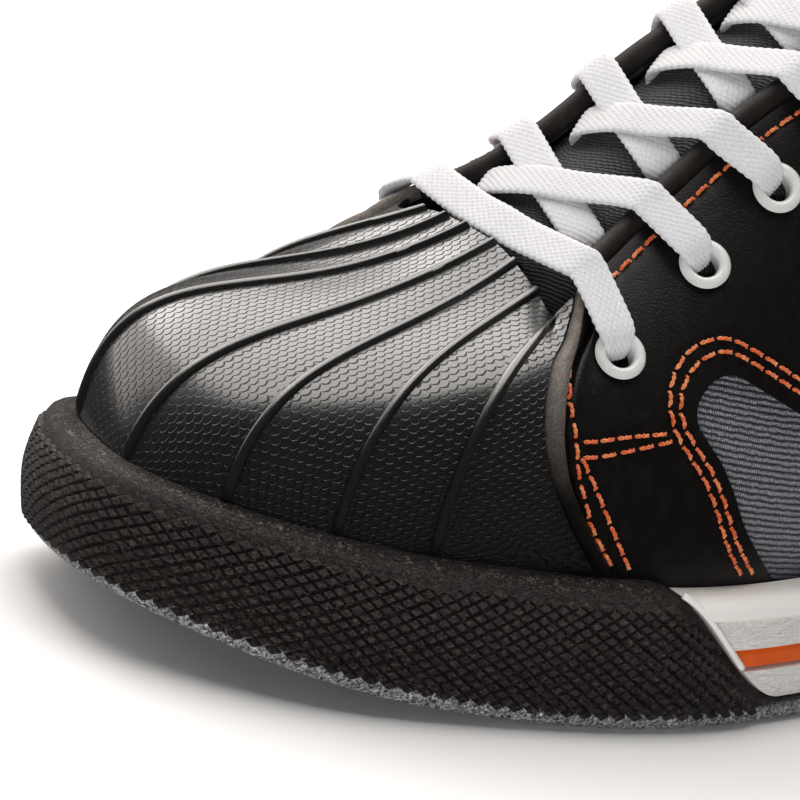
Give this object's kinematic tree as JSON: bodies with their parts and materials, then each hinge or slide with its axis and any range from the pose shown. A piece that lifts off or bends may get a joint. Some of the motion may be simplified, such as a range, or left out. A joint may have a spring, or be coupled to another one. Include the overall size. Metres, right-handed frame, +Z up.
{
  "type": "safety sneaker",
  "caption": "Low left safety sneaker with a knurled rubber toe guard, ribbed toe cap, leather and twill upper, striped midsole and flat laces.",
  "frame": {"origin": "on the floor under the middle of the shoe's box", "axes": "+X to the shoe's outer (lateral) side, +Y from toe to heel, +Z up"},
  "size_m": [0.112, 0.302, 0.1475],
  "materials": {
    "binding_leather": "rolled black leather",
    "eyelet_ring": "glossy ivory",
    "insole": "dark lining cloth",
    "lace_cord": "flat white weave",
    "midsole_foam": "off-white foam with a fine grain",
    "outsole_rubber": "moulded, knurled on the side of the toe guard",
    "quarter_leather": "smooth black leather",
    "stripe": "smooth orange band",
    "toe_cap": "semi-gloss, wavy scale grain",
    "tongue_textile": "dark grey twill",
    "upper_twill": "blue-grey ribbed twill"
  },
  "bodies": {
    "root": {"binding": "binding_leather", "eyelet_lateral_1": "eyelet_ring", "eyelet_lateral_2": "eyelet_ring", "eyelet_lateral_3": "eyelet_ring", "eyelet_lateral_4": "eyelet_ring", "eyelet_lateral_5": "eyelet_ring", "eyelet_medial_1": "eyelet_ring", "eyelet_medial_2": "eyelet_ring", "eyelet_medial_3": "eyelet_ring", "eyelet_medial_4": "eyelet_ring", "eyelet_medial_5": "eyelet_ring", "insole": "insole", "lace_bar_1": "lace_cord", "lace_cross_2": "lace_cord", "lace_cross_3": "lace_cord", "lace_cross_4": "lace_cord", "lace_cross_5": "lace_cord", "midsole": "midsole_foam", "outsole": "outsole_rubber", "quarter_lateral": "quarter_leather", "quarter_medial": "quarter_leather", "stripe": "stripe", "toe_cap": "toe_cap", "tongue": "tongue_textile", "upper": "upper_twill"}
  },
  "joints": []
}
